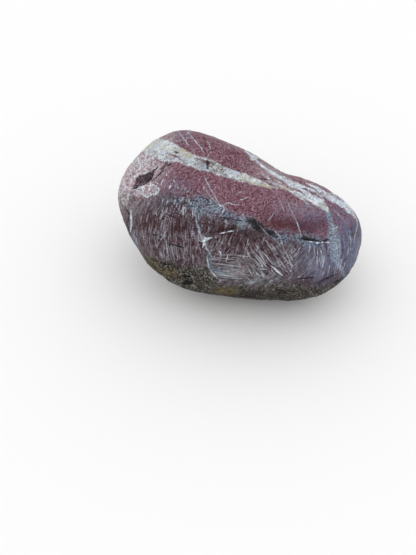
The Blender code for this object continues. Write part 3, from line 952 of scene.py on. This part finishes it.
def pocket_depth(stone):
    """How deep the chipped pockets go, in mm: sheer at the upper end of each, and shallower below."""
    wobble = stone.noise(1.3, 11) * WALL_UNEVENNESS
    depths = []
    for outline, depth, wall in POCKETS:
        x, y = np.mean(outline, axis=0)
        up = (stone.pixels[:, 0] - x) * FLOOR_LEAN - (stone.pixels[:, 1] - y)
        slope = np.clip(up / FLOOR_RUN, -FLOOR_CHANGE, FLOOR_CHANGE)
        floor = depth * (1.0 + slope + FLOOR_UNEVENNESS * stone.noise(1.1, 12))
        depths.append(floor * smoothstep(-0.1, wall, stone.inside(outline) + wobble))
    return np.maximum.reduce(depths)


def chip_depth(stone):
    """How deep the small chips go, in mm."""
    middles = [(stone.skin_seen(x, y), *rest) for x, y, *rest in SEEN_CHIPS]
    middles += [(stone.skin_at(unit(a, e)), *rest) for a, e, *rest in UNSEEN_CHIPS]
    wobble = 1.0 + 0.35 * stone.noise(1.5, 13)
    out = np.zeros(stone.grid.count)
    for middle, radius, depth in middles:
        gap = np.linalg.norm(stone.places_mm - middle, axis=1) * wobble
        out = np.maximum(out, depth * smoothstep(radius, radius * 0.35, gap))
    return out


def painted_layers(stone, hatches):
    """Every mask and distance that the material and the relief read, by name."""
    dice = np.random.default_rng(SEED)
    quartz = drawn(stone, QUARTZ_VEINS, HIDDEN_VEINS)
    layers = {
        "quartz": np.maximum(quartz, -drawn(stone, JASPER_SLIVERS)),
        "dull_vein": drawn(stone, DULL_VEINS),
        "threads": drawn(stone, THREAD_VEINS, HIDDEN_THREADS, THIN_REACH),
        "bright": drawn(stone, BRIGHT_MARKS, reach=THIN_REACH),
        "cracks": drawn(stone, CRACKS, HIDDEN_CRACKS, THIN_REACH),
        "pocket": pocket_depth(stone),
        "chips": chip_depth(stone),
    }
    layers.update(colour_layers(stone))
    scratches = combed(stone, dice)
    strokes = fine_strokes(stone, hatches, dice) * layers["film"] * (1.0 - 0.7 * layers["crust_and_shade"])
    layers["scratches"] = np.maximum.reduce((scratches, strokes, hidden_scratches(stone, dice)))
    return layers


# Heights and depths in mm of what is drawn on the skin.
WIDE_LUMPS, SMALL_LUMPS = 0.45, 0.16
SKIN_ROUGHNESS, CRUST_ROUGHNESS = 0.03, 0.13
QUARTZ_RISE, QUARTZ_UNEVENNESS = 0.16, 0.10
CRACK_DEPTH = 0.55
SCRATCH_DEPTH = 0.08
THREAD_RISE = 0.06
PIT_DEPTH = 0.35


def carve(stone, layers):
    """Moves the skin by the relief of what is drawn on it, and keeps it above the floor."""
    crust_and_shade = layers["crust_and_shade"]
    quartz = smoothstep(0.35, -0.45, layers["quartz"] + stone.noise(1.8, 24) * 0.5)
    pits = smoothstep(0.45, 0.8, stone.noise(1.7, 26, 2))
    height = (
        WIDE_LUMPS * stone.noise(13.0, 22)
        + SMALL_LUMPS * stone.noise(4.5, 23)
        + (SKIN_ROUGHNESS + CRUST_ROUGHNESS * crust_and_shade) * stone.noise(1.1, 21, 4)
        + (QUARTZ_RISE + QUARTZ_UNEVENNESS * stone.noise(1.4, 25)) * quartz
        + THREAD_RISE * smoothstep(0.3, -0.2, layers["threads"])
        - CRACK_DEPTH * smoothstep(0.25, -0.3, layers["cracks"])
        - SCRATCH_DEPTH * layers["scratches"]
        - PIT_DEPTH * pits * crust_and_shade
        - layers["pocket"]
        - layers["chips"]
    )
    points = stone.points + stone.normals * (height * MM)[:, None]
    points[:, 2] = np.maximum(points[:, 2], 0.0)
    stone.set_points(points)


def make_piece(stone, layers, hatches):
    """The stone as one object, whose masks and distances are attributes of its mesh."""
    mesh = bpy.data.meshes.new("stone")
    mesh.from_pydata(stone.points.tolist(), [], stone.grid.squares.tolist())
    mesh.shade_smooth()
    masks = {name: mask for name, (mask, *_) in hatches.items()}
    for name, values in (layers | masks).items():
        attribute = mesh.attributes.new(name, "FLOAT", "POINT")
        attribute.data.foreach_set("value", np.ascontiguousarray(values, dtype=np.float32))
    mesh.materials.append(jasper_material(hatches))
    piece = bpy.data.objects.new("stone", mesh)
    bpy.context.scene.collection.objects.link(piece)
    return piece


# ---------------------------------------------------------------- the material

GLOSS = 0.15  # the worn skin's specular level
SHEEN = 0.025  # how much of the studio's light that gloss sends back everywhere
DARKEST = 0.004
DRIFT_LENGTH, DRIFT_REACH = 4.0, 1.4  # mm: how the strokes wander
STROKE_SHIFT = np.array((13.7, -7.9, 3.1))  # how far apart two seeds read the same strokes
BUMP_STRENGTH, BUMP_DEPTH = 0.6, 0.12 * MM
# The two ways in which the chevrons on the top run: the axes along them, across them and out.
CHEVRON_AXES = (
    np.array(((0.5, 0.866, 0.0), (-0.866, 0.5, 0.0), (0.0, 0.0, 1.0))),
    np.array(((-0.6, 0.8, 0.0), (-0.8, -0.6, 0.0), (0.0, 0.0, 1.0))),
)


def shade(*shown):
    """The colour that shows as these 0 to 255 values once the studio's light is on it."""
    linear = [((part / 255 + 0.055) / 1.055) ** 2.4 for part in shown]
    return [max(part - SHEEN, DARKEST) for part in linear] + [1.0]


class Paint:
    """Small steps of a material's node tree. Most return the socket that holds their result."""

    def __init__(self, name):
        self.material = bpy.data.materials.new(name)
        self.material.use_nodes = True
        self.nodes = self.material.node_tree.nodes
        self.links = self.material.node_tree.links
        self.shader = self.nodes["Principled BSDF"]
        where = self.node("TexCoord", {}).outputs["Object"]
        self.place = self.vector("SCALE", where, 1.0 / MM)
        drift = self.node("TexNoise", {"Vector": self.place, "Scale": 1.0 / DRIFT_LENGTH})
        drifted = self.vector("SCALE", drift.outputs["Color"], DRIFT_REACH)
        self.wavy = self.vector("ADD", self.place, drifted)
        self.ragged = self.noise(2.0, 4.0, 0.65, 8.0)
        self.fine = self.noise(0.7, 3.0, 0.65, 2.0)
        self.grit = self.noise(0.9, 3.0, 0.75, 9.0)

    def node(self, kind, inputs, **settings):
        """A new node with these inputs and settings."""
        node = self.nodes.new("ShaderNode" + kind)
        for setting, value in settings.items():
            setattr(node, setting, value)
        self.feed(node, inputs)
        return node

    def feed(self, node, inputs):
        """Links a node's inputs to sockets, or sets them to numbers, vectors or colours."""
        for name, value in inputs.items():
            if isinstance(value, bpy.types.NodeSocket):
                self.links.new(value, node.inputs[name])
            else:
                node.inputs[name].default_value = value

    def vector(self, operation, first, second):
        """One step of vector arithmetic. SCALE takes a number second."""
        name = "Scale" if operation == "SCALE" else 1
        node = self.node("VectorMath", {0: first, name: second}, operation=operation)
        return node.outputs["Value" if operation == "DOT_PRODUCT" else "Vector"]

    def arithmetic(self, operation, values):
        out = values[0]
        for value in values[1:]:
            out = self.node("Math", {0: out, 1: value}, operation=operation).outputs["Value"]
        return out

    def sum(self, *values):
        return self.arithmetic("ADD", values)

    def product(self, *values):
        return self.arithmetic("MULTIPLY", values)

    def step(self, value, low, high, start=0.0, end=1.0):
        """A smooth change from start to end as the value goes from low to high."""
        if low > high:
            low, high, start, end = high, low, end, start
        inputs = {"Value": value, "From Min": low, "From Max": high, "To Min": start, "To Max": end}
        return self.node("MapRange", inputs, interpolation_type="SMOOTHSTEP").outputs["Result"]

    def mask(self, name):
        """What the mesh carries under this name."""
        return self.node("Attribute", {}, attribute_name=name).outputs["Fac"]

    def noise(self, wavelength, detail, roughness, seed, place=None):
        """Noise of 0 to 1 with this wavelength in mm."""
        inputs = {"Vector": place or self.place, "W": seed, "Scale": 1.0 / wavelength}
        inputs |= {"Detail": detail, "Roughness": roughness}
        return self.node("TexNoise", inputs, noise_dimensions="4D").outputs["Fac"]

    def cells(self, place, size=1.0):
        """Cells scattered at random: how far off the middle of each is, and its three chances."""
        cells = self.node("TexVoronoi", {"Vector": place, "Scale": 1.0 / size})
        chances = self.node("SeparateColor", {"Color": cells.outputs["Color"]})
        return cells.outputs["Distance"], chances.outputs

    def grains(self, size, channel):
        """Random values of 0 to 1, one for each grain of this size in mm."""
        return self.cells(self.place, size)[1][channel]

    def strokes(self, axes, length, gap, seed, widening=0.0):
        """Drawn-out marks of 0 to 1 along the first of three axes, their length and gap in mm."""
        shifted = self.vector("ADD", self.wavy, tuple(seed * STROKE_SHIFT))
        squeezed = [axis / size for axis, size in zip(axes, (length, gap, 2.5 * gap))]
        parts = [self.vector("DOT_PRODUCT", shifted, tuple(axis)) for axis in squeezed]
        place = self.node("CombineXYZ", dict(zip("XYZ", parts))).outputs["Vector"]
        distance, chances = self.cells(place)
        marks = self.step(self.sum(distance, widening), 0.43, 0.33)
        marks = self.product(marks, self.step(chances["Red"], 0.0, 0.9, 0.15, 1.0))
        fibres = self.step(self.noise(0.8, 1.0, 0.5, seed, place), 0.52, 0.62, 0.0, 0.6)
        return self.sum(self.product(marks, 0.7), fibres)

    def blend(self, share, under, over):
        """One colour laid over another by a share of 0 to 1."""
        inputs = {"Factor": share, "A": under, "B": over}
        return self.node("Mix", inputs, data_type="RGBA").outputs["Result"]


def jasper_material(hatches):
    """The stone's skin, from the jasper up to what lies on it, with its gloss and fine relief."""
    paint = Paint("red_jasper")
    colour = jasper_ground(paint)
    colour = hatched(paint, colour, hatches)
    colour = stained(paint, colour)
    colour, quartz_share, sugar = veined(paint, colour)
    colour, crust_and_shade_share = crusted_and_shaded(paint, colour)
    colour, scratch = scratched(paint, colour)

    # worn jasper shines a little, quartz more, crust hardly at all
    rough = paint.sum(
        paint.step(paint.fine, 0.3, 0.7, 0.42, 0.56), paint.product(crust_and_shade_share, 0.3),
        paint.product(quartz_share, -0.1), paint.product(scratch, 0.12),
    )

    # fine relief
    relief = paint.sum(
        paint.product(paint.fine, 0.5), paint.product(scratch, 0.5),
        paint.product(paint.grit, crust_and_shade_share, 1.6), paint.product(sugar, quartz_share, 0.6),
    )
    bump = paint.node("Bump", {"Strength": BUMP_STRENGTH, "Distance": BUMP_DEPTH, "Height": relief})

    skin = {"Base Color": colour, "Roughness": rough, "Specular IOR Level": GLOSS}
    paint.feed(paint.shader, skin | {"Normal": bump.outputs["Normal"]})
    return paint.material


def jasper_ground(paint):
    """Maroon jasper, mottled, with pale and dark flecks."""
    step, blend, product = paint.step, paint.blend, paint.product
    colour = blend(step(paint.noise(7.0, 4.0, 0.6, 1.0), 0.35, 0.65), shade(95, 57, 68), shade(114, 79, 92))
    grain = paint.grains(0.45, "Red")
    colour = blend(step(grain, 0.70, 0.95, 0.0, 0.6), colour, shade(156, 128, 139))
    colour = blend(step(grain, 0.34, 0.08, 0.0, 0.7), colour, shade(68, 32, 41))
    colour = blend(step(paint.fine, 0.51, 0.72, 0.0, 0.55), colour, shade(150, 119, 130))
    colour = blend(step(paint.fine, 0.48, 0.31, 0.0, 0.6), colour, shade(73, 37, 46))
    turned = step(paint.noise(5.0, 2.0, 0.5, 21.0), 0.45, 0.55)
    chevrons = paint.sum(
        product(paint.strokes(CHEVRON_AXES[0], 1.6, 0.5, 31.0), turned),
        product(paint.strokes(CHEVRON_AXES[1], 1.6, 0.5, 32.0), step(turned, 1.0, 0.0)),
    )
    colour = blend(product(chevrons, 0.7), colour, shade(168, 140, 151))
    deep = product(paint.mask("deep"), step(paint.ragged, 0.3, 0.6, 0.5, 0.95))
    return blend(deep, colour, shade(76, 34, 42))


def hatched(paint, colour, hatches):
    """The worn sides: darker jasper under a hatching of pale strokes."""
    step, blend, product, film = paint.step, paint.blend, paint.product, paint.mask("film")
    colour = blend(product(film, step(paint.ragged, 0.3, 0.65, 0.94, 0.72)), colour, shade(61, 31, 40))
    colour = blend(product(film, step(paint.fine, 0.48, 0.34, 0.0, 0.9)), colour, shade(40, 22, 28))
    colour = blend(product(film, step(paint.fine, 0.55, 0.67, 0.0, 0.5)), colour, shade(124, 106, 115))
    frost = paint.mask("frost")
    frosted = product(frost, step(paint.ragged, 0.35, 0.6, 0.3, 1.0), 0.35)
    colour = blend(frosted, colour, shade(96, 100, 106))
    widening = product(frost, -0.06)
    areas = [
        product(paint.mask(name), paint.strokes(axes, length, gap, seed + 1.0, widening))
        for seed, (name, (_, axes, length, gap)) in enumerate(hatches.items())
    ]
    strokes = product(paint.sum(*areas), film, step(paint.mask("deep"), 0.2, 1.0, 1.0, 0.45))
    tone = blend(step(paint.ragged, 0.4, 0.6), shade(150, 140, 153), shade(180, 180, 192))
    tone = blend(frost, tone, shade(178, 186, 192))
    return blend(product(strokes, 0.54), colour, tone)


def stained(paint, colour):
    """Blue, pale, lilac and near-black stains, a painted sky sheen on the narrow end, and painted shade low
    down.
    """
    step, blend, product, mask = paint.step, paint.blend, paint.product, paint.mask
    patchy = step(paint.ragged, 0.38, 0.6, 0.25, 0.95)
    speckled = product(patchy, step(paint.fine, 0.35, 0.6, 0.45, 1.0))
    teal = blend(step(paint.fine, 0.44, 0.58), shade(58, 68, 82), shade(134, 150, 166))
    teal = blend(product(mask("frost"), step(paint.fine, 0.36, 0.52), 0.8), teal, shade(152, 170, 180))
    colour = blend(product(mask("blue"), step(paint.ragged, 0.34, 0.54, 0.35, 0.95), 0.95), colour, teal)
    bruised = product(step(paint.ragged, 0.36, 0.58, 0.3, 1.0), step(paint.fine, 0.42, 0.58, 0.3, 1.0))
    colour = blend(product(mask("haze"), bruised), colour, shade(219, 214, 218))
    winding = paint.noise(2.2, 2.0, 0.5, 41.0, paint.wavy)
    veinlets = product(step(winding, 0.47, 0.50), step(winding, 0.53, 0.50))
    colour = blend(product(mask("haze"), veinlets, 0.75), colour, shade(118, 84, 98))
    # lilac stains, with a painted bluish sheen of reflected sky light on the narrow end
    colour = blend(product(mask("lilac_stain_and_sky_sheen"), speckled, 0.85), colour, shade(102, 108, 138))
    # painted shade, mostly low down
    colour = blend(product(mask("painted_shade"), patchy, 0.8), colour, shade(66, 44, 46))
    navy = step(paint.sum(mask("navy"), product(paint.sum(paint.ragged, -0.5), 2.0)), 0.40, 0.75)
    return blend(product(navy, step(paint.fine, 0.62, 0.46, 0.7, 0.98)), colour, shade(28, 35, 43))


def veined(paint, colour):
    """Quartz veins, the dull vein and the threads. Gives the quartz's share and grain too."""
    step, blend, product, mask, add = paint.step, paint.blend, paint.product, paint.mask, paint.sum
    sugar = paint.noise(0.6, 3.0, 0.7, 12.0)
    frayed = add(product(add(paint.noise(1.7, 5.0, 0.7, 11.0), -0.5), 2.6), product(add(sugar, -0.5), 1.0))
    dull_share = product(step(add(mask("dull_vein"), frayed), 0.45, -0.45), 0.8)
    dull = blend(step(sugar, 0.40, 0.62), shade(92, 96, 106), shade(160, 178, 196))
    colour = blend(dull_share, colour, dull)

    share = step(add(mask("quartz"), frayed), 0.30, -0.40)
    quartz = blend(step(sugar, 0.40, 0.60), shade(136, 138, 140), shade(206, 212, 218))
    grain = paint.grains(0.7, "Green")
    quartz = blend(step(grain, 0.66, 0.90, 0.0, 0.8), quartz, shade(232, 238, 244))
    quartz = blend(step(grain, 0.26, 0.06, 0.0, 0.75), quartz, shade(96, 98, 104))
    layers = paint.noise(4.0, 3.0, 0.6, product(mask("quartz"), 1.3))
    quartz = blend(step(layers, 0.52, 0.62), quartz, shade(222, 230, 236))
    quartz = blend(step(layers, 0.46, 0.36, 0.0, 0.8), quartz, shade(118, 112, 106))
    quartz = blend(product(mask("pale"), step(sugar, 0.35, 0.6, 0.2, 0.8)), quartz, shade(212, 222, 232))
    creamy = product(mask("cream"), step(paint.ragged, 0.35, 0.6, 0.3, 0.9))
    quartz = blend(creamy, quartz, shade(188, 178, 150))
    yellowed = step(paint.noise(2.6, 3.0, 0.6, 13.0), 0.56, 0.68, 0.0, 0.6)
    quartz = blend(yellowed, quartz, shade(160, 150, 124))
    dark_spots = step(paint.noise(1.0, 3.0, 0.65, 14.0), 0.44, 0.32, 0.0, 0.9)
    quartz = blend(dark_spots, quartz, shade(80, 78, 84))
    bluish = product(step(paint.noise(2.4, 3.0, 0.6, 42.0), 0.52, 0.62), step(sugar, 0.35, 0.55, 0.4, 1.0))
    quartz = blend(product(bluish, 0.7), quartz, shade(176, 194, 218))
    soiled = product(mask("soiled"), step(paint.ragged, 0.42, 0.56))
    quartz = blend(product(soiled, 0.85), quartz, shade(88, 83, 80))
    colour = blend(product(share, 0.95), colour, quartz)

    thinning = step(paint.noise(1.6, 2.0, 0.6, 22.0), 0.40, 0.62)
    thread_edge = add(mask("threads"), product(add(sugar, -0.5), 0.35), product(thinning, 0.05))
    thread = product(step(thread_edge, 0.16, -0.10), step(thinning, 1.0, 0.0, 0.6, 0.95))
    thread_tone = blend(step(paint.fine, 0.45, 0.6), shade(146, 152, 164), shade(196, 204, 210))
    return blend(thread, colour, thread_tone), share, sugar


def crusted_and_shaded(paint, colour):
    """The grey and olive crust on the lower sides, which thins out upwards in specks; its dark tones are
    partly painted shade.
    """
    step, blend, product, mask, add = paint.step, paint.blend, paint.product, paint.mask, paint.sum
    uneven = add(product(add(paint.ragged, -0.5), 0.9), product(add(paint.grit, -0.5), 1.4))
    share = step(add(mask("crust_and_shade"), uneven), 0.35, 0.85)
    # the crust's own grey and olive, darkened as painted shade on the underside
    crust_and_shade = blend(step(paint.grit, 0.46, 0.54), shade(26, 23, 18), shade(82, 81, 76))
    crust_and_shade = blend(step(paint.grit, 0.55, 0.65, 0.0, 0.9), crust_and_shade, shade(160, 163, 160))
    speck = paint.grains(0.55, "Blue")
    crust_and_shade = blend(step(speck, 0.66, 0.90, 0.0, 0.8), crust_and_shade, shade(148, 150, 146))
    crust_and_shade = blend(step(speck, 0.42, 0.14, 0.0, 0.95), crust_and_shade, shade(16, 14, 11))
    crust_and_shade = blend(step(paint.noise(2.4, 4.0, 0.65, 23.0), 0.52, 0.66, 0.0, 0.6), crust_and_shade, shade(104, 98, 90))
    mossy = step(paint.noise(3.5, 3.0, 0.6, 10.0), 0.40, 0.66, 0.1, 0.75)
    crust_and_shade = blend(product(step(mask("crust_and_shade"), 0.4, 0.9), mossy), crust_and_shade, shade(64, 58, 38))
    # painted shade, darker still along the bottom hem
    crust_and_shade = blend(product(mask("painted_shade"), 0.5), crust_and_shade, shade(38, 35, 30))
    # less crust where the lilac stains and the painted sky sheen lie
    colour = blend(product(share, step(mask("lilac_stain_and_sky_sheen"), 0.0, 1.0, 0.92, 0.6)), colour, crust_and_shade)
    tan = product(mask("tan"), step(paint.ragged, 0.4, 0.6, 0.2, 0.9))
    return blend(tan, colour, shade(116, 104, 72)), share


def scratched(paint, colour):
    """Single scratches, bright marks, cracks, the chips and the pockets' floors, with painted shade in
    chips and pockets. Gives the scratches too.
    """
    step, blend, product, mask, add = paint.step, paint.blend, paint.product, paint.mask, paint.sum
    chipped = product(add(paint.noise(0.7, 3.0, 0.6, 15.0), -0.5), 0.4)
    scratch = step(add(mask("scratches"), product(chipped, 0.8)), 0.2, 0.65)
    worn = blend(step(paint.ragged, 0.4, 0.6), shade(158, 152, 164), shade(188, 192, 203))
    worn = blend(mask("frost"), worn, shade(194, 202, 207))
    colour = blend(product(scratch, step(mask("deep"), 0.2, 1.0, 0.8, 0.45)), colour, worn)
    glint = blend(step(paint.fine, 0.42, 0.60), shade(158, 172, 184), shade(230, 238, 244))
    colour = blend(step(add(mask("bright"), product(chipped, 1.1)), 0.13, -0.13, 0.0, 0.92), colour, glint)
    crack = step(add(mask("cracks"), chipped), 0.08, -0.12)
    colour = blend(product(crack, 0.9), colour, shade(38, 30, 34))
    # the chips are painted darker by their depth, as shade in the dents
    colour = blend(step(mask("chips"), 0.08, 0.4, 0.0, 0.6), colour, shade(54, 44, 48))
    # the pockets' floors are partly painted shade: a speckled tone, darker still where they are deepest
    floor = blend(step(paint.fine, 0.42, 0.60), shade(58, 44, 52), shade(122, 104, 114))
    floor = blend(step(mask("pocket"), 1.5, 2.4, 0.0, 0.6), floor, shade(40, 30, 38))
    return blend(step(mask("pocket"), 0.10, 0.4, 0.0, 0.92), colour, floor), scratch


# ---------------------------------------------------------------- the studio

FLOOR_HALF = 1.5  # metres
FLOOR_COLOUR = (0.92, 0.92, 0.92, 1.0)
FLOOR_ROUGHNESS = 0.9
ROOM_COLOUR = (1.0, 1.0, 1.0, 1.0)
ROOM_LIGHT = 1.08


def make_floor():
    """A plain pale floor, which isn't part of the stone."""
    material = bpy.data.materials.new("pale_floor")
    material.use_nodes = True
    shader = material.node_tree.nodes["Principled BSDF"]
    shader.inputs["Base Color"].default_value = FLOOR_COLOUR
    shader.inputs["Roughness"].default_value = FLOOR_ROUGHNESS
    corners = [(x * FLOOR_HALF, y * FLOOR_HALF, 0) for x, y in ((-1, -1), (1, -1), (1, 1), (-1, 1))]
    mesh = bpy.data.meshes.new("floor")
    mesh.from_pydata(corners, [], [(0, 1, 2, 3)])
    mesh.materials.append(material)
    floor = bpy.data.objects.new("floor", mesh)
    bpy.context.scene.collection.objects.link(floor)


def make_lights():
    """An evenly bright room, as the photograph's flat light has it."""
    world = bpy.data.worlds.new("room")
    world.use_nodes = True
    sky = world.node_tree.nodes["Background"]
    sky.inputs["Color"].default_value = ROOM_COLOUR
    sky.inputs["Strength"].default_value = ROOM_LIGHT
    scene = bpy.context.scene
    scene.world = world
    scene.view_settings.view_transform = "Standard"
    scene.view_settings.look = "None"


def main():
    make_camera()
    stone = Stone()
    hatches = hatch_layers(stone)
    layers = painted_layers(stone, hatches)
    carve(stone, layers)
    piece = make_piece(stone, layers, hatches)
    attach(piece, "root")
    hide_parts(NODE)
    make_floor()
    make_lights()


main()
